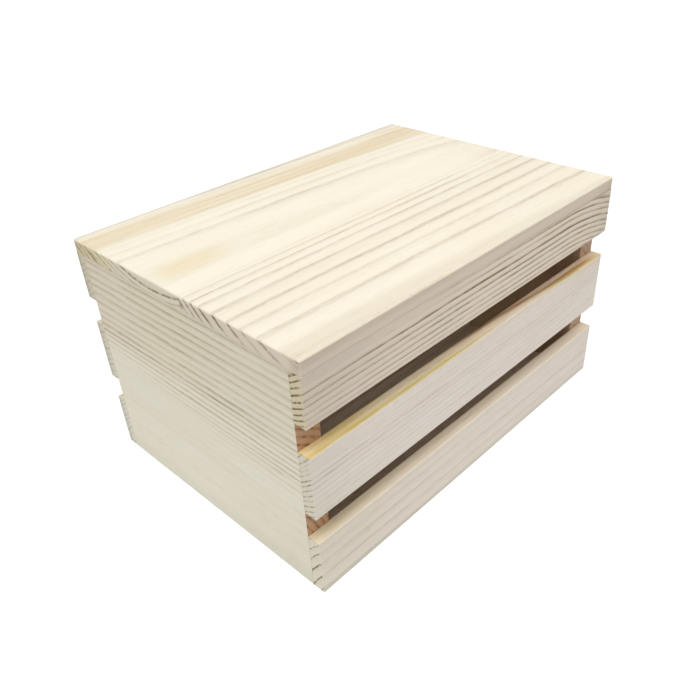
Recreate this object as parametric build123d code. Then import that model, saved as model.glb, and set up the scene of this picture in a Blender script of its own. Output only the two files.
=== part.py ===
from build123d import *
import os

# A slatted pine storage box with a lift-off lid, in millimetres. X runs along the box from left
# to right, Y from front to back and Z up. The origin is the centre of the underside.

# Overall size with the lid on
box_length = 200.0
box_depth = 140.0
box_height = 110.0

# Slats, which lie over the edges of the end panels
slat_thickness = 6.0
bottom_slat_width = 27.6
middle_slat_width = 29.6
top_slat_width = 21.7

# End panels and bottom
panel_thickness = 11.0
bottom_thickness = 6.0
bottom_front_strip = 64.0

# Lid, two strips glued edge to edge over two battens
lid_thickness = 6.0
lid_front_strip = 64.5
batten_width = 22.0
batten_thickness = 6.0
batten_chamfer = 1.5
lid_play = 0.5

# Sanded arrises: the edges that hands touch, and the lid's upper rim and four corners
edge_ease = 0.35
rim_ease = 0.9
corner_ease = 1.1

# Headless pins of square wire, and how far they bite into the board behind
pin_wire = 0.6
pin_tip = 1.0
panel_bite = 9.0
bottom_bite = 9.0
lid_bite = 3.0
slat_pin_spacing = 12.0
bottom_pin_spacing = 60.0
bottom_pins_a_side = 3
batten_pin_spacing = 30.0

# What follows from these
wall_height = box_height - lid_thickness
inner_length = box_length - 2 * panel_thickness
inner_depth = box_depth - 2 * slat_thickness
slat_gap = (wall_height - bottom_slat_width - middle_slat_width - top_slat_width) / 2
batten_length = inner_depth - 2 * lid_play
batten_middle = (inner_length - batten_width) / 2 - lid_play
panel_middle = (box_length - panel_thickness) / 2

walls = {"front": -1, "back": 1}
ends = {"left": -1, "right": 1}
# Each slat's foot and width, and each strip's front edge and width
slat_rows = {
    "bottom": (0, bottom_slat_width),
    "middle": (bottom_slat_width + slat_gap, middle_slat_width),
    "top": (wall_height - top_slat_width, top_slat_width),
}
bottom_strips = {
    "front": (-inner_depth / 2, bottom_front_strip),
    "back": (bottom_front_strip - inner_depth / 2, inner_depth - bottom_front_strip),
}
lid_strips = {
    "front": (-box_depth / 2, lid_front_strip),
    "back": (lid_front_strip - box_depth / 2, box_depth - lid_front_strip),
}


def pin(length):
    """A headless pin along Z, from its flush end at the origin up to its chisel point."""
    half = pin_wire / 2
    shank = length - pin_tip
    outline = Polyline((-half, 0), (half, 0), (half, shank), (0, length), (-half, shank), close=True)
    return extrude(Plane.XZ * make_face(outline), half, both=True)


def pins_into_wall(places, outward, length):
    """Pins driven square into the front or back wall, at each (x, z)."""
    face = outward * box_depth / 2
    return [Plane((x, face, z), z_dir=(0, -outward, 0)) * pin(length) for x, z in places]


def slat_pins(outward):
    """Two pins at each end of every slat of one wall, centred on the end panel behind."""
    places = []
    for foot, width in slat_rows.values():
        for end in ends.values():
            for step in (-0.5, 0.5):
                places.append((end * panel_middle, foot + width / 2 + step * slat_pin_spacing))
    return pins_into_wall(places, outward, slat_thickness + panel_bite)


def bottom_edge_pins(outward):
    """A row of pins through the bottom slat into the edge of the bottom."""
    row = GridLocations(bottom_pin_spacing, 1, bottom_pins_a_side, 1)
    places = [(place.position.X, bottom_thickness / 2) for place in row]
    return pins_into_wall(places, outward, slat_thickness + bottom_bite)


def slat(foot, width, outward):
    """One slat, eased outside and in the gaps, but square on the floor and under the lid."""
    middle = Pos(0, outward * (box_depth - slat_thickness) / 2, foot + width / 2)
    section = Plane.YZ * Rectangle(slat_thickness, width)
    board = middle * extrude(section, box_length / 2, both=True)
    along = board.edges().filter_by(Axis.X)
    beside_gaps = along.filter_by(lambda edge: 0 < edge.center().Z < wall_height)
    corners = board.edges().filter_by(Axis.Z).group_by(SortBy.DISTANCE)[-1]
    return fillet(beside_gaps + corners, edge_ease)


def end_panel(outward):
    """One end board, standing between the front and back slats."""
    middle = Pos(outward * panel_middle, 0, wall_height / 2)
    outline = Plane.YZ * Rectangle(inner_depth, wall_height)
    return middle * extrude(outline, panel_thickness / 2, both=True)


def bottom_strip(front_edge, width):
    """One strip of the bottom, flush with the foot of the walls."""
    middle = Pos(0, front_edge + width / 2)
    return extrude(middle * Rectangle(inner_length, width), bottom_thickness)


def lid_strip(front_edge, width):
    """One strip of the lid, eased round its upper rim and square at the glue joint."""
    outline = Pos(0, front_edge + width / 2) * Rectangle(box_length, width)
    outer_corners = outline.vertices().group_by(lambda corner: abs(corner.Y))[-1]
    outline = fillet(outer_corners, corner_ease)
    board = extrude(Plane.XY.offset(wall_height) * outline, lid_thickness)
    glue_line = front_edge if front_edge > -box_depth / 2 else front_edge + width
    rim = board.faces().sort_by(Axis.Z)[-1].edges()
    return fillet(rim.filter_by(lambda edge: abs(edge.center().Y - glue_line) > corner_ease), rim_ease)


def batten(outward):
    """One batten across the underside of the lid, chamfered below to find its way in."""
    middle = Pos(outward * batten_middle, 0, wall_height)
    bar = middle * extrude(Rectangle(batten_width, batten_length), -batten_thickness)
    return chamfer(bar.faces().sort_by(Axis.Z)[0].edges(), batten_chamfer)


def batten_pins():
    """Pins driven up through each batten, two into every strip of the lid."""
    pins = []
    for front_edge, width in lid_strips.values():
        for end in ends.values():
            for step in (-0.5, 0.5):
                y = front_edge + width / 2 + step * batten_pin_spacing
                place = Pos(end * batten_middle, y, wall_height - batten_thickness)
                pins.append(place * pin(batten_thickness + lid_bite))
    return pins


# The boards
parts = {}
for end_name, outward in ends.items():
    parts[f"end_panel_{end_name}"] = end_panel(outward)
    parts[f"lid_batten_{end_name}"] = batten(outward)
for wall_name, outward in walls.items():
    for row_name, (foot, width) in slat_rows.items():
        parts[f"{wall_name}_slat_{row_name}"] = slat(foot, width, outward)
    parts[f"bottom_strip_{wall_name}"] = bottom_strip(*bottom_strips[wall_name])
    parts[f"lid_strip_{wall_name}"] = lid_strip(*lid_strips[wall_name])

# The pins, with the boards that each group holds together
panels = [f"end_panel_{end_name}" for end_name in ends]
battens = [f"lid_batten_{end_name}" for end_name in ends]
pin_groups = {"batten_pins": batten_pins(), "bottom_pins": []}
pinned = {"batten_pins": list(battens), "bottom_pins": []}
for wall_name, outward in walls.items():
    pin_groups[f"{wall_name}_slat_pins"] = slat_pins(outward)
    pinned[f"{wall_name}_slat_pins"] = panels + [f"{wall_name}_slat_{row_name}" for row_name in slat_rows]
    pin_groups["bottom_pins"] += bottom_edge_pins(outward)
    pinned["bottom_pins"] += [f"{wall_name}_slat_bottom", f"bottom_strip_{wall_name}"]
    pinned["batten_pins"].append(f"lid_strip_{wall_name}")

# The holes that the pins make
for group_name, group in pin_groups.items():
    for board_name in pinned[group_name]:
        parts[board_name] = parts[board_name] - group
for group_name, group in pin_groups.items():
    parts[group_name] = Compound(children=group)

os.makedirs("parts", exist_ok=True)
for part_name, solid in parts.items():
    solid.label = part_name
    export_step(solid, f"parts/{part_name}.step")
print(f"slat gap {slat_gap:.2f} mm, inside {inner_length:.1f} x {inner_depth:.1f} mm")
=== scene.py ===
import math

import bpy
from mathutils import Matrix, Vector


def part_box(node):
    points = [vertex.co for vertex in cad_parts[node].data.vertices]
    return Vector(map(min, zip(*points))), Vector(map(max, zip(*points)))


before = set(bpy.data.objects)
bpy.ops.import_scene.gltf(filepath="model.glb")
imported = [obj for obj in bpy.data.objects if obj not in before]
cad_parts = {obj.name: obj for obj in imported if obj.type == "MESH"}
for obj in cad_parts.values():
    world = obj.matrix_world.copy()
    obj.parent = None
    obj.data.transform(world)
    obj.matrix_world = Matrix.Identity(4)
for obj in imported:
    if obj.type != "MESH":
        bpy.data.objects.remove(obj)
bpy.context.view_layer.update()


# The end panels: one planed pine board at each end of the box, 11 mm thick, with its fibres
# running from front to back. They carry the slats, which are pinned to their edges. The left one
# was sawn beside the pith, so its rings crowd at half height and its foot is nearly plain.
class Strand:
    """A socket of a material. Sums on it add Math nodes, and node() adds any other."""

    def __init__(self, socket):
        self.socket = socket

    def node(self, kind, settings, inputs, output=0):
        """Any node in the same tree. The setting points gives a Float Curve its straight runs."""
        tree = self.socket.id_data
        made = tree.nodes.new(kind)
        for key, value in settings.items():
            if key == "points":
                curve = made.mapping.curves[0]
                for spot in value[1:-1]:
                    curve.points.new(*spot)
                curve.points[0].location = value[0]
                curve.points[-1].location = value[-1]
                for point in curve.points:
                    point.handle_type = "VECTOR"
                made.mapping.update()
            else:
                setattr(made, key, value)
        for key, value in inputs.items():
            if isinstance(value, Strand):
                tree.links.new(value.socket, made.inputs[key])
            else:
                made.inputs[key].default_value = value
        return Strand(made.outputs[output])

    def math(self, operation, *terms):
        return self.node("ShaderNodeMath", {"operation": operation}, dict(enumerate(terms)))

    def __add__(self, other):
        return self.math("ADD", self, other)

    def __radd__(self, other):
        return self.math("ADD", other, self)

    def __sub__(self, other):
        return self.math("SUBTRACT", self, other)

    def __rsub__(self, other):
        return self.math("SUBTRACT", other, self)

    def __mul__(self, other):
        return self.math("MULTIPLY", self, other)

    def __rmul__(self, other):
        return self.math("MULTIPLY", other, self)

    def __truediv__(self, other):
        return self.math("DIVIDE", self, other)

    def __abs__(self):
        return self.math("ABSOLUTE", self)

    def least(self, other):
        return self.math("MINIMUM", self, other)

    def most(self, other):
        return self.math("MAXIMUM", self, other)

    def rise(self, low, high):
        """From 0 at low to 1 at high with soft ends, or falling where low is the larger."""
        limits = {"Value": self, "From Min": low, "From Max": high}
        return self.node("ShaderNodeMapRange", {"interpolation_type": "SMOOTHSTEP"}, limits)

    def near(self, middle, reach):
        """1 at the middle, and 0 from reach away."""
        return abs(self - middle).rise(reach, 0)

    def mix(self, under, over, blend="MIX"):
        """The colour under, with the colour over laid on it where this strand is 1."""
        settings = {"data_type": "RGBA", "blend_type": blend}
        factor, first_colour, second_colour, mixed_colour = 0, 6, 7, 2
        inputs = {factor: self, first_colour: under, second_colour: over}
        return self.node("ShaderNodeMix", settings, inputs, mixed_colour)


def shade(red, green, blue):
    """A colour as a screen shows it, 0 to 255, as linear light."""
    linear = []
    for level in (red, green, blue):
        share = level / 255
        linear.append(share / 12.92 if share <= 0.04045 else ((share + 0.055) / 1.055) ** 2.4)
    return (*linear, 1.0)


def ring_run(inner, outer, width):
    """Rings between two radii, where broad and narrow, dark and pale years follow each other."""
    rings = []
    radius = inner
    while radius < outer:
        year = len(rings)
        rings.append((radius, 0.7 + 0.3 * math.sin(2.3 * year)))
        radius += width * (1 + 0.25 * math.sin(1.7 * year))
    return rings


def rings_on(face, heart, lines):
    """The rings that come out on an upright face at these heights, each with its darkness."""
    return [(math.hypot(face - heart[0], height - heart[1]), dark) for height, dark in lines]


class PineBoard:
    """A board sawn out of a pine log. Places on it are millimetres in the box's own frame."""

    # Millimetres in a metre, the share of a year when wood is darkest, and each noise's step aside
    per_metre = 1000
    darkest = 0.65
    stride = (3.1, 5.7, 1.9)

    def __init__(self, name, grain, seed):
        self.name = name
        self.seed = seed
        self.material = bpy.data.materials.new(name)
        self.material.use_nodes = True
        tree = self.material.node_tree
        self.shader = tree.nodes["Principled BSDF"]
        self.place = Strand(tree.nodes.new("ShaderNodeTexCoord").outputs["Object"])
        spots = [self.place.node("ShaderNodeSeparateXYZ", {}, {"Vector": self.place}, axis) * self.per_metre
                 for axis in range(3)]
        self.x, self.y, self.z = spots
        low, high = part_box(name)
        self.low = [edge * self.per_metre for edge in low]
        self.high = [edge * self.per_metre for edge in high]
        depths = [(spot - self.low[axis]).least(self.high[axis] - spot) for axis, spot in enumerate(spots)]
        self.grain = "XYZ".index(grain)
        self.along = spots[self.grain]
        self.across = spots[1 - self.grain]
        # Sawn end faces, and the distance to the nearest arris
        self.end = depths[self.grain].rise(0.08, 0.03)
        wide = depths[0].most(depths[1])
        self.arris = depths[0].least(depths[1]).most(wide.least(depths[2]))

    def face(self, spot, plane):
        """1 on the face of the board that lies at this place, and 0 from a tenth of a millimetre off."""
        return abs(spot - plane).rise(0.1, 0.05)

    def figure(self, length, breadth, detail=2, start=0.3, stop=0.7):
        """A noise from 0 to 1, drawn out along the grain, with spots of about this size."""
        size = [breadth, breadth, breadth]
        size[self.grain] = length
        self.seed += 1
        moved = self.place.node("ShaderNodeMapping", {}, {
            "Vector": self.place,
            "Location": [step * self.seed for step in self.stride],
            "Scale": [self.per_metre / extent for extent in size],
        })
        noise = {"Vector": moved, "Scale": 1.0, "Detail": detail, "Roughness": 0.55}
        return moved.node("ShaderNodeTexNoise", {}, noise).rise(start, stop)

    def bend(self, start, stop, push):
        """How far the rings are pushed out, more and more from start along the grain to stop."""
        share = ((self.along - start) / (stop - start)).most(0)
        return share * share * push

    def grow(self, heart, lean, rings, line, soft, wander, sway=0.0, edge=0.2):
        """Growth rings round the pith, each given by the radius of its dark line and its darkness.

        The line darkens over one share of a year and fades over another, the edge. The soft part of
        it darkens from the start of the year. The rings wander and sway by millimetres.
        """
        across = self.across - heart[0] - self.along * lean[0]
        up = self.z - heart[1] - self.along * lean[1]
        bends = (self.figure(150, 26, detail=1, start=0, stop=1) - 0.5) * wander
        ripples = (self.figure(20, 3.5, detail=1, start=0, stop=1) - 0.5) * (wander * 0.6)
        self.radius = across.math("SQRT", across * across + up * up) + bends + ripples + sway
        rings = sorted(rings)
        inner = rings[0][0]
        reach = rings[-1][0] - inner
        share = (self.radius - inner) / reach
        ages = []
        darkness = []
        for year, (radius, dark) in enumerate(rings):
            ages.append(((radius - inner) / reach, (year + self.darkest) / len(rings)))
            darkness.append(((radius - inner) / reach, dark))
        age = share.node("ShaderNodeFloatCurve", {"points": ages}, {"Value": share}) * len(rings)
        season = age.math("FRACT", age)
        dark = share.node("ShaderNodeFloatCurve", {"points": darkness}, {"Value": share})
        faded = self.darkest + edge
        core = season.rise(self.darkest - line, self.darkest) * season.rise(faded, self.darkest + 0.01)
        shoulder = season.rise(0.0, self.darkest) * season.rise(faded, self.darkest)
        self.line = core * dark
        self.late = (core * (1 - soft) + shoulder * soft) * dark

    def tint(self, mask, colour):
        """Multiply the colour by another where the mask is 1."""
        self.colour = mask.mix(self.colour, (*colour, 1.0), "MULTIPLY")

    def plane(self, early, late, contrast, breaks=0.6, fibre=1.0):
        """The planed faces: pale early wood, dark late wood, fibres and fine resin dashes.

        The contrast is that of the late wood, breaks says how much its lines come and go along the
        grain, and fibre how clear the fibres are.
        """
        fibres = self.figure(45, 0.7)
        streaks = self.figure(200, 8)
        broken = self.figure(30, 2.4, stop=0.62)
        warm = self.figure(55, 16, start=0.35, stop=0.65)
        flecks = self.figure(3.5, 0.5, detail=1)
        dashes = self.figure(9, 0.45, detail=0, start=0.7, stop=0.76)
        lines = self.late * contrast * (0.85 + (broken - 0.6) * breaks) * (0.75 + flecks * 0.5)
        self.colour = lines.least(1.0).mix(early, late)
        self.tint(streaks * 0.6, (0.96, 0.945, 0.92))
        self.tint(warm * 0.6, (1.0, 0.978, 0.96))
        self.tint(fibres * (0.45 * fibre), (0.955, 0.945, 0.925))
        self.tint(flecks * (0.35 * fibre), (0.96, 0.955, 0.94))
        self.tint(dashes * (0.15 + self.late * 0.4), (0.72, 0.62, 0.48))
        self.rough = 0.56 + fibres * 0.1 - self.late * 0.08
        self.height = self.late * 0.4 - fibres * 0.3 - flecks * 0.25 - dashes * 0.4

    def crosscut(self, early, late, contrast, keep=1.0):
        """The sawn ends: open pores, and the dark lines of the rings cut straight across.

        The share of these lines that wear has left is keep.
        """
        pores = self.figure(0.8, 0.55)
        torn = self.figure(4, 2.2, detail=1, stop=0.62)
        lines = (self.line * contrast * (0.4 + torn * 0.7) + (self.late - self.line) * 0.3) * keep
        ends = lines.most(0.0).least(1.0).mix(early, late)
        ends = (pores * 0.5).mix(ends, (0.93, 0.925, 0.91, 1.0), "MULTIPLY")
        self.colour = self.end.mix(self.colour, ends)
        self.rough = self.rough + self.end * 0.15
        self.height = self.height * (1 - self.end) - self.end * (pores * 0.7 + self.line * 0.3)

    def saw(self, mask):
        """A face left from the saw: browner, with fine marks across the grain."""
        marks = self.figure(1.1, 30, detail=1, start=0.35, stop=0.65)
        self.tint(mask * (0.85 + marks * 0.15), (0.77, 0.64, 0.53))
        self.rough = self.rough + mask * 0.2
        self.height = self.height - mask * marks * 0.6

    def finish(self):
        """Rub the arrises, and put the board's material on."""
        rubbed = self.arris.rise(1.1, 0.1) * self.figure(16, 6, start=0.4)
        self.tint(rubbed * 0.35, (0.93, 0.9, 0.85))
        bump = {"Strength": 0.35, "Distance": 0.00025, "Height": self.height}
        normal = self.height.node("ShaderNodeBump", {}, bump)
        links = self.material.node_tree.links
        links.new(self.colour.socket, self.shader.inputs["Base Color"])
        links.new(self.rough.socket, self.shader.inputs["Roughness"])
        links.new(normal.socket, self.shader.inputs["Normal"])
        self.shader.inputs["Specular IOR Level"].default_value = 0.3
        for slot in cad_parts[self.name].material_slots:
            slot.material = self.material


left_panel = PineBoard("end_panel_left", "Y", seed=1)
left_lines = ((102.7, 0.5), (99.1, 0.55), (95.3, 0.53), (91.6, 0.61), (87.8, 0.56), (83.5, 0.57),
              (79.5, 0.42), (76.0, 0.51), (72.4, 0.68), (69.0, 0.85), (66.4, 0.46), (63.6, 0.43),
              (60.7, 0.56), (57.8, 0.45), (55.1, 0.55), (52.8, 0.45), (49.7, 0.5), (46.2, 0.5),
              (42.4, 0.5), (38.0, 0.5), (33.0, 0.5), (27.0, 0.5))
left_heart = (-137, 9.7)
left_rings = rings_on(left_panel.low[0], left_heart, left_lines) + ring_run(102.5, 118, 3.3)
left_panel.grow(left_heart, (0, -0.006), left_rings, line=0.4, soft=0.36, wander=1.0)
above_foot = (left_panel.z - left_panel.y * 0.1).rise(48, 62)
crowded = left_panel.z.near(61, 12)
faint_front = left_panel.y.rise(-25, -50) * 0.2
bold_middle = left_panel.y.near(8, 36) * 0.33
left_contrast = 1 + crowded * 0.25 - left_panel.z.rise(68, 76) * (0.15 + faint_front - bold_middle)
left_panel.plane(shade(248, 243, 225), shade(182, 170, 140), 0.08 + above_foot * left_contrast * 0.95)
# It is greyer above, partly from the wood and partly as painted shade, with a yellow middle and a pink back,
# and painted shade darkens it under the lid, at the foot and towards the lower front corner
upper_half = left_panel.z.rise(50, 80)
painted_shade_under_lid = left_panel.z.rise(100, 103.5)
yellow_middle = left_panel.y.near(12, 50) * left_panel.z.rise(58, 80)
pink_back = left_panel.y.rise(30, 62) * left_panel.z.rise(52, 75)
painted_shade_foot = left_panel.z.rise(13, 3)
painted_shade_front_foot = left_panel.z.rise(36, 16) * left_panel.y.rise(10, -60)
left_panel.tint(upper_half, (0.965, 0.95, 0.92))
left_panel.tint(crowded, (1.045, 1.045, 1.04))
left_panel.tint(painted_shade_under_lid, (0.91, 0.905, 0.9))
left_panel.tint(yellow_middle, (1.0, 0.99, 0.945))
left_panel.tint(pink_back, (1.0, 0.975, 0.98))
left_panel.tint(painted_shade_foot, (0.925, 0.935, 0.94))
left_panel.tint(painted_shade_front_foot, (0.945, 0.945, 0.935))
panel_end_late = shade(134, 92, 60)
left_panel.crosscut(shade(202, 160, 124), panel_end_late, contrast=1.6)
left_panel.saw(left_panel.face(left_panel.x, left_panel.high[0]))
left_panel.finish()

right_panel = PineBoard("end_panel_right", "Y", seed=21)
right_panel.grow((152, 128), (0.01, 0.008), ring_run(40, 150, 3.4), line=0.4, soft=0.4, wander=1.4)
right_inside = right_panel.face(right_panel.x, right_panel.low[0])
right_panel.plane(shade(246, 239, 218), shade(194, 180, 148), 0.8 - right_inside * 0.7)
# Painted shade, with a reddish cast, on the inside face towards the front
painted_shade_inside = right_inside * right_panel.y.rise(0, -50)
right_panel.tint(painted_shade_inside, (0.82, 0.7, 0.64))
right_panel.crosscut(shade(206, 178, 152), panel_end_late, contrast=0.4)
right_panel.saw(right_inside)
right_panel.finish()


# The bottom: two pine strips, 6 mm thick, laid side by side between the end panels with their
# fibres along the box. Their edges are pinned through the bottom slats. Only a little light reaches
# them through the gaps.
for wall, heart, seed in (("front", (-48, -70), 41), ("back", (38, 92), 51)):
    strip = PineBoard(f"bottom_strip_{wall}", "X", seed)
    strip.grow(heart, (0.012, 0.01), ring_run(40, 150, 3.6), line=0.35, soft=0.4, wander=1.6)
    strip.plane(shade(248, 238, 224), shade(196, 178, 150), contrast=0.8)
    # Painted shade on the bottom just behind the front slats
    painted_shade_behind_slats = strip.y.rise(-20, -48)
    strip.tint(painted_shade_behind_slats, (0.86, 0.85, 0.82))
    strip.finish()


# The slats: three at the front and three at the back, 6 mm pine, lapped over the edges of the end
# panels and pinned to them with 12.5 mm gaps between. They run the full length, so their sawn ends
# show on the end faces. The front ones show rings of quite different width and darkness.
top_slat = PineBoard("front_slat_top", "X", seed=61)
top_lines = ((105.7, 0.6), (103.0, 0.75), (100.3, 0.5), (97.1, 1.0), (94.0, 0.7), (91.5, 0.7), (88.7, 0.55),
             (86.3, 0.6), (84.0, 0.45))
top_heart = (-42, 140)
top_rings = ring_run(30, 42, 2.4) + rings_on(top_slat.low[1], top_heart, top_lines)
top_slat.grow(top_heart, (0, 0), top_rings, line=0.32, soft=0.26, wander=0.6,
              sway=top_slat.bend(60, 99, -4.3), edge=0.16)
plain_shaded_rim = top_slat.z.rise(99, 100.5) * top_slat.x.rise(30, -50)
top_faded = plain_shaded_rim * 0.9 + top_slat.x.rise(15, -60) * 0.34 + top_slat.x.rise(-60, -92) * 0.32
top_slat.plane(shade(244, 231, 212), shade(126, 103, 74), 1.2 - top_faded)
# Painted shade along the plain rim under the lid
top_slat.tint(plain_shaded_rim, (0.93, 0.92, 0.925))
# It is darker towards both ends, as painted shade
top_slat.tint(top_slat.x.rise(0, -35), (0.957, 0.957, 0.965))
top_slat.tint(top_slat.x.rise(-52, -75), (0.942, 0.948, 0.965))
top_slat.tint(top_slat.x.rise(-68, -97), (0.945, 0.945, 0.92))
top_slat.tint(top_slat.x.rise(75, 99), (0.9, 0.915, 0.91))
top_keep = 0.35 + top_slat.y.rise(-69.8, -67.8) * 0.65
top_slat.crosscut(shade(232, 218, 186), shade(126, 110, 78), contrast=1.9, keep=top_keep)
top_slat.saw(top_slat.face(top_slat.y, top_slat.high[1]))
top_slat.finish()

middle_slat = PineBoard("front_slat_middle", "X", seed=71)
middle_lines = ((68.8, 0.4), (66.6, 0.2), (64.3, 0.25), (62.0, 0.3), (59.0, 0.6), (56.7, 0.6), (54.1, 0.4),
                (51.4, 0.45), (49.0, 0.35), (46.2, 0.6), (43.6, 0.4), (40.8, 0.4))
middle_heart = (-30, 102)
middle_rings = ring_run(33, 50, 2.3) + rings_on(middle_slat.low[1], middle_heart, middle_lines)
middle_slat.grow(middle_heart, (0, -0.011), middle_rings, line=0.3, soft=0.4, wander=0.9,
                 sway=middle_slat.bend(55, 100, 3.5), edge=0.15)
bold_left = middle_slat.x.rise(0, -50) * middle_slat.z.near(58, 13)
middle_slat.plane(shade(248, 240, 232), shade(172, 160, 146), 0.32 + bold_left * 0.3, fibre=2.7)
painted_shade_lower_left = middle_slat.x.rise(-50, -80) * middle_slat.z.rise(54, 45)
warm_right = middle_slat.x.rise(62, 84) * middle_slat.z.rise(62, 68.5)
# Painted shade towards the left end and over its lower left
middle_slat.tint(middle_slat.x.rise(-68, -97), (0.95, 0.965, 0.95))
middle_slat.tint(painted_shade_lower_left, (0.965, 0.97, 0.945))
middle_slat.tint(warm_right, (0.98, 0.93, 0.84))
middle_keep = 0.4 + middle_slat.y.rise(-69.8, -68.5) * 0.6
middle_slat.crosscut(shade(238, 230, 211), shade(130, 120, 102), contrast=1.5, keep=middle_keep)
# Its upper edge is resinous: yellow along the front, and a brown streak that leans to the front. It lies in
# shade under the top slat, so painted light also makes it brighter than wood can be, most at the back
middle_top = middle_slat.z.rise(69.3, 69.6)
resin = middle_slat.figure(60, 0.8, detail=1)
patches = middle_slat.figure(14, 1.8, detail=1)
golden_end = middle_slat.x.rise(-50, -85) * (0.5 + patches * 0.4)
yellow_length = middle_slat.x.rise(25, -20) * (1 - middle_slat.x.rise(-65, -90) * 0.7)
yellow_left = middle_slat.y.near(-68.9, 1.6) * yellow_length
yellow_right = middle_slat.y.rise(-67.8, -69.2) * middle_slat.x.rise(25, 65) * 0.8
yellow = yellow_left.most(yellow_right) * (0.65 + patches * 0.35)
painted_light_back = middle_slat.y.rise(-69, -66.5) * middle_slat.x.near(-2, 50)
streak_path = middle_slat.y + 64.6 + middle_slat.x.rise(-5, 75) * 3.1 + (resin - 0.5) * 0.6
streak_breadth = 1.5 + middle_slat.x.near(68, 35) * 0.7
streak_length = middle_slat.x.rise(-25, 5) * middle_slat.x.rise(102, 84)
brown_streak = (streak_path / streak_breadth).near(0, 1) * streak_length
browned = streak_path.rise(0, 1) * middle_slat.x.rise(0, 30) * 0.25
middle_slat.tint(middle_top, (1.1, 1.03, 0.91))
middle_slat.tint(middle_top * painted_light_back, (1.11, 1.08, 1.05))
middle_slat.tint(middle_top * middle_slat.x.rise(15, -30), (0.965, 0.955, 0.87))
middle_slat.tint(middle_top * golden_end, (0.965, 0.87, 0.5))
middle_slat.tint(middle_top * yellow, (0.765, 0.74, 0.35))
middle_slat.tint(middle_top * browned, (0.98, 0.82, 0.7))
middle_slat.tint(middle_top * brown_streak, (0.52, 0.34, 0.16))
middle_slat.saw(middle_slat.face(middle_slat.y, middle_slat.high[1]))
middle_slat.finish()

bottom_slat = PineBoard("front_slat_bottom", "X", seed=81)
bottom_lines = ((30.4, 0.35), (25.3, 0.4), (20.7, 0.45), (14.8, 0.9), (8.0, 0.85), (0.6, 0.6), (-5.6, 0.5))
bottom_heart = (-127, -33.4)
bottom_rings = rings_on(bottom_slat.low[1], bottom_heart, bottom_lines)
bottom_slat.grow(bottom_heart, (0, -0.018), bottom_rings, line=0.16, soft=0.4, wander=0.8, edge=0.1)
bottom_contrast = 0.27 + bottom_slat.x.rise(0, -60) * 0.07
bottom_slat.plane(shade(243, 234, 225), shade(176, 164, 146), bottom_contrast, fibre=2.1)
# It is darker towards the left, and along its foot, as painted shade
painted_foot_shadow = bottom_slat.z.rise(4, 1)
bottom_slat.tint(bottom_slat.x.rise(70, -60), (0.985, 0.985, 0.955))
bottom_slat.tint(bottom_slat.x.rise(-60, -97), (0.955, 0.965, 0.94))
bottom_slat.tint(painted_foot_shadow, (0.86, 0.89, 0.87))
bottom_keep = 0.5 + bottom_slat.y.rise(-69.8, -68.5) * 0.5
bottom_slat.crosscut(shade(237, 230, 209), shade(140, 130, 108), contrast=1.8, keep=bottom_keep)
bottom_top = bottom_slat.z.rise(27.1, 27.4)
painted_shade_back = bottom_slat.y.rise(-69.3, -66.5) * bottom_slat.x.rise(-55, -90)
# Its upper edge lies in shade: painted light makes it brighter than wood can be, and warmer, and painted
# shade darkens its back at the left
bottom_slat.tint(bottom_top, (1.06, 1.02, 0.91))
bottom_slat.tint(bottom_top * painted_shade_back, (0.9, 0.89, 0.83))
bottom_slat.saw(bottom_slat.face(bottom_slat.y, bottom_slat.high[1]))
bottom_slat.finish()

# Each back slat's heart, ring width, early wood on its faces and on its ends, and seed
back_slats = {
    "top": ((30, 28), 2.6, shade(245, 236, 213), shade(232, 224, 201), 91),
    "middle": ((96, 128), 2.9, shade(244, 237, 218), shade(238, 232, 212), 101),
    "bottom": ((22, -40), 2.3, shade(244, 238, 222), shade(241, 237, 221), 111),
}
for row, (heart, ring_width, early, end_early, seed) in back_slats.items():
    slat = PineBoard(f"back_slat_{row}", "X", seed)
    slat.grow(heart, (0.01, -0.012), ring_run(20, 130, ring_width), line=0.35, soft=0.35, wander=1.0)
    slat.plane(early, shade(184, 168, 138), contrast=0.75)
    slat.crosscut(end_early, shade(180, 170, 148), contrast=0.6)
    outer_end = slat.end * slat.y.rise(64.5, 69.5)
    slat.tint(outer_end, (0.8, 0.81, 0.8))
    slat.saw(slat.face(slat.y, slat.low[1]))
    slat.finish()


# The pins: headless steel wire, 0.6 mm square, driven flush through the slats into the panels and
# the bottom, and up through the battens into the lid. In the walls their outer ends are stopped
# with wood filler, so they hardly show.
pin_steel = bpy.data.materials.new("pin_steel")
pin_steel.use_nodes = True
pin_tree = pin_steel.node_tree
pin_shader = pin_tree.nodes["Principled BSDF"]
pin_place = Strand(pin_tree.nodes.new("ShaderNodeTexCoord").outputs["Object"])
pin_y = pin_place.node("ShaderNodeSeparateXYZ", {}, {"Vector": pin_place}, 1) * PineBoard.per_metre
scratches = pin_place.node("ShaderNodeTexNoise", {}, {"Vector": pin_place, "Scale": 4000.0, "Detail": 3.0})
filler = abs(pin_y).rise(69.6, 69.9)
wire_colour = scratches.mix(shade(150, 148, 144), shade(196, 194, 190))
pin_colour = filler.mix(wire_colour, shade(234, 222, 202))
pin_metal = 1 - filler
pin_rough = 0.3 + scratches * 0.15 + filler * 0.3
pin_tree.links.new(pin_colour.socket, pin_shader.inputs["Base Color"])
pin_tree.links.new(pin_metal.socket, pin_shader.inputs["Metallic"])
pin_tree.links.new(pin_rough.socket, pin_shader.inputs["Roughness"])
for group in ("front_slat_pins", "back_slat_pins", "bottom_pins", "batten_pins"):
    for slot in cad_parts[group].material_slots:
        slot.material = pin_steel


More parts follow.
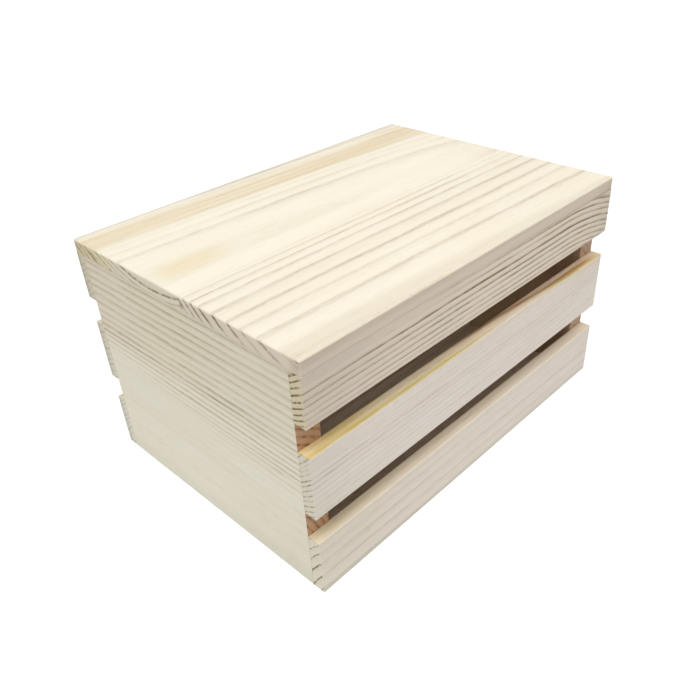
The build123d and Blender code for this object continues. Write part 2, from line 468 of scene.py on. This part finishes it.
# The lid: two pine strips, 6 mm thick, glued edge to edge and planed together, with their outer
# corners and edges eased. The front strip was sawn across slanting rings, the back one near the
# middle of a plank, so it is nearly plain between one clear line and a yellow band at the back.
lid_front = PineBoard("lid_strip_front", "X", seed=121)
lid_front_heart = (-93.38, 189.75)
lid_front_rings = ((75.2, 0.3), (79.8, 0.3), (82.9, 0.9), (84.6, 0.12), (89.85, 0.62), (94.65, 0.37),
                   (98.95, 0.72), (104.35, 0.66), (109.2, 0.65), (113.0, 0.67), (116.05, 0.47), (119.3, 0.5),
                   (122.4, 0.5))
lid_front.grow(lid_front_heart, (0.0095, 0.0175), lid_front_rings, line=0.24, soft=0.28, wander=0.8)
faded_end = lid_front.x.rise(50, 68) * lid_front.y.rise(-24, -16)
front_band = lid_front.radius.rise(86.2, 84.0)
bold_right = lid_front.x.rise(-20, 50)
lid_front_contrast = 1 - faded_end * 0.6 - front_band * 0.8 + bold_right * 0.12
lid_front.plane(shade(254, 246, 227), shade(206, 193, 170), lid_front_contrast, breaks=0.35)
below_rim = lid_front.z.rise(109.8, 109.1)
front_edge = lid_front.y.rise(-68.8, -69.3)
lid_front.tint(front_band * 0.9, (0.91, 0.9, 0.875))
# Painted shade towards the left, at both ends of the front edge, and over the front edge below its rounded
# rim
lid_front.tint(lid_front.x.rise(-10, -80), (0.978, 0.98, 0.985))
lid_front.tint(lid_front.x.rise(-70, -97) * below_rim, (0.945, 0.95, 0.95))
lid_front.tint(lid_front.x.rise(82, 99) * below_rim, (0.89, 0.9, 0.89))
lid_front.tint(front_edge * below_rim, (0.82, 0.76, 0.765))
end_keep = (0.5 + lid_front.z.rise(104, 107) * 0.5) * (0.55 + lid_front.y.rise(-42, -12) * 0.65)
lid_front.crosscut(shade(240, 228, 207), shade(138, 124, 104), contrast=1.9, keep=end_keep)
front_corner = lid_front.y.rise(-63, -68)
joint_knot = lid_front.y.near(-6.4, 2.2) * lid_front.z.near(106, 2.0)
lid_front.tint(lid_front.end * front_corner, (0.84, 0.82, 0.78))
lid_front.tint(lid_front.end * joint_knot, (0.6, 0.56, 0.5))
lid_front.saw(lid_front.face(lid_front.z, lid_front.low[2]))
lid_front.finish()

lid_back = PineBoard("lid_strip_back", "X", seed=131)
lid_back_heart = (9.95, 176.15)
lid_back_rings = ((60.0, 0.2), (63.0, 0.2), (65.7, 0.2), (69.7, 0.7), (72.3, 0.4), (74.8, 0.3),
                  (77.5, 0.55), (80.0, 0.08), (82.0, 0.75), (85.4, 0.4), (88.1, 0.6), (90.9, 0.4))
lid_back.grow(lid_back_heart, (-0.0225, 0.0065), lid_back_rings, line=0.3, soft=0.5, wander=0.45,
              sway=lid_back.bend(25, 99, 1.8))
band_radius = lid_back.radius - lid_back.x.rise(50, 98) * 1.6
back_band = band_radius.rise(75.1, 77.3) * band_radius.rise(85.1, 82.8)
clear_line = (0.5 + lid_back.x.near(-8, 60) * 0.45) * (1 - back_band * 0.5)
lid_back.plane(shade(255, 248, 229), shade(206, 193, 168), clear_line, breaks=0.4, fibre=0.4)
band_figure = lid_back.figure(90, 3.5)
band_depth = 0.58 + band_figure * 0.4 + lid_back.x.rise(10, 70) * 0.2
yellow_spot = lid_back.y.near(12.5, 11) * lid_back.x.rise(-58, -78) * lid_back.x.rise(-102, -90)
pink_end = lid_back.y.near(61, 5.5) * lid_back.x.rise(42, 92)
grey_line = lid_back.y.near(66.6, 2.2) * lid_back.x.rise(-55, -30)
painted_shade_back_edge = lid_back.y.rise(66, 69.2)
lid_back.tint(back_band * band_depth, (0.86, 0.775, 0.645))
lid_back.tint(yellow_spot * (0.8 + band_figure * 0.2), (0.95, 0.895, 0.745))
lid_back.tint(pink_end, (0.94, 0.875, 0.835))
lid_back.tint(grey_line, (0.91, 0.9, 0.92))
# Painted shade along the back arris, and towards the left
lid_back.tint(painted_shade_back_edge, (0.83, 0.82, 0.8))
lid_back.tint(lid_back.x.rise(-10, -80), (0.978, 0.98, 0.985))
lid_back.crosscut(shade(244, 234, 210), shade(142, 128, 104), contrast=1.35)
# On the ends the yellow band comes out mottled, and painted shade darkens the back corners
mottled = lid_back.radius.near(81.5, 3.5) * lid_back.figure(4, 4, detail=1, start=0.35, stop=0.65)
yellow_part = lid_back.y.rise(36, 46)
painted_shade_back_corner = lid_back.y.rise(54, 67)
lid_back.tint(lid_back.end * yellow_part, (0.97, 0.955, 0.86))
lid_back.tint(lid_back.end * mottled, (0.76, 0.72, 0.6))
lid_back.tint(lid_back.end * painted_shade_back_corner, (0.86, 0.84, 0.77))
lid_back.saw(lid_back.face(lid_back.z, lid_back.low[2]))
lid_back.finish()


# The battens: two short bars of the same pine across the underside of the lid, chamfered below and
# pinned from there. They hold the strips together and drop between the walls, so that the lid stays
# in place.
for end, heart, seed in (("left", (-120, 140), 141), ("right", (60, 30), 151)):
    bar = PineBoard(f"lid_batten_{end}", "Y", seed)
    bar.grow(heart, (0.01, 0.008), ring_run(20, 150, 2.8), line=0.35, soft=0.35, wander=1.0)
    bar.plane(shade(244, 235, 212), shade(190, 173, 140), contrast=0.8)
    bar.crosscut(shade(236, 224, 198), shade(160, 142, 112), contrast=1.0)
    bar.finish()


# The floor: a wide sheet of white studio paper that the box stands on. It throws light back at
# the walls, and shows the camera plain white with the soft shadow of the box.
def seen_rays(tree):
    """1 for what the camera sees, also in a gloss or through glass, and 0 for light that fills."""
    light_path = tree.nodes.new("ShaderNodeLightPath")
    seen = Strand(light_path.outputs["Is Camera Ray"])
    for kind in ("Is Glossy Ray", "Is Transmission Ray"):
        seen = seen.most(Strand(light_path.outputs[kind]))
    return seen


def grey(level):
    """A neutral colour of this linear light."""
    return (level, level, level, 1.0)


floor_size = 8.0
floor_drop = 0.0001
bpy.ops.object.select_all(action="DESELECT")
bpy.ops.mesh.primitive_plane_add(size=floor_size, location=(0, 0, -floor_drop))
floor = bpy.context.object
floor.name = "studio_floor"
bpy.ops.object.transform_apply(location=True, rotation=True, scale=True)
paper = bpy.data.materials.new("studio_paper")
paper.use_nodes = True
paper_tree = paper.node_tree
paper_tree.nodes.clear()
paper_seen = seen_rays(paper_tree)
paper_place = Strand(paper_tree.nodes.new("ShaderNodeTexCoord").outputs["Object"])
from_box = paper_place.node("ShaderNodeVectorMath", {"operation": "LENGTH"}, {0: paper_place}, 1)
bounce_colour = from_box.rise(0.55, 0.15).mix(grey(0.5), grey(0.82))
glow_colour = from_box.rise(0.35, 0.9).mix(grey(0.86), grey(1.0))
bounce = paper_seen.node("ShaderNodeBsdfDiffuse", {}, {"Color": bounce_colour})
shadow = paper_seen.node("ShaderNodeBsdfDiffuse", {}, {"Color": grey(0.25)})
glow = paper_seen.node("ShaderNodeEmission", {}, {"Color": glow_colour})
white = paper_seen.node("ShaderNodeAddShader", {}, {0: shadow, 1: glow})
surface = paper_seen.node("ShaderNodeMixShader", {}, {0: paper_seen, 1: bounce, 2: white})
paper_output = paper_tree.nodes.new("ShaderNodeOutputMaterial")
paper_tree.links.new(surface.socket, paper_output.inputs["Surface"])
floor.data.materials.append(paper)


# The light: a wide softbox high over the front left corner, turned towards the box, and a white
# room that fills from all round.
softbox = bpy.data.objects.new("softbox", bpy.data.lights.new("softbox", "AREA"))
softbox.data.shape = "SQUARE"
softbox.data.size = 1.1
softbox.data.energy = 14.0
softbox_spot = Vector((-0.42, -0.42, 1.4))
softbox_aim = Vector((0, 0, 0.05))
softbox.location = softbox_spot
softbox.rotation_euler = (softbox_aim - softbox_spot).to_track_quat("-Z", "Y").to_euler()
bpy.context.scene.collection.objects.link(softbox)

room_fill = 0.47
room = bpy.data.worlds.new("white_room")
bpy.context.scene.world = room
room.use_nodes = True
room_tree = room.node_tree
room_light = room_tree.nodes["Background"]
room_light.inputs["Color"].default_value = grey(1.0)
room_strength = room_fill + seen_rays(room_tree) * (1 - room_fill)
room_tree.links.new(room_strength.socket, room_light.inputs["Strength"])

bpy.context.scene.view_settings.view_transform = "Standard"


# The camera: close to the box at its front left corner, about 35 cm away, and looking down at 34
# degrees, so that the box tapers strongly.
camera_spot = Vector((-0.21572, -0.2143, 0.2359))
looking = Vector((0.5969, 0.57133, -0.56329)).normalized()
rightward = Vector((0.6763, -0.73602, -0.02988))
rightward = (rightward - looking * rightward.dot(looking)).normalized()
upward = rightward.cross(looking)
turned = Matrix((rightward, upward, -looking)).transposed().to_4x4()
camera = bpy.data.objects.new("camera", bpy.data.cameras.new("camera"))
bpy.context.scene.collection.objects.link(camera)
camera.matrix_world = Matrix.Translation(camera_spot) @ turned
camera.data.sensor_width = 36.0
camera.data.lens = 37.33
camera.data.shift_x = -0.03968
camera.data.shift_y = 0.00941
camera.data.clip_start = 0.01
bpy.context.scene.camera = camera
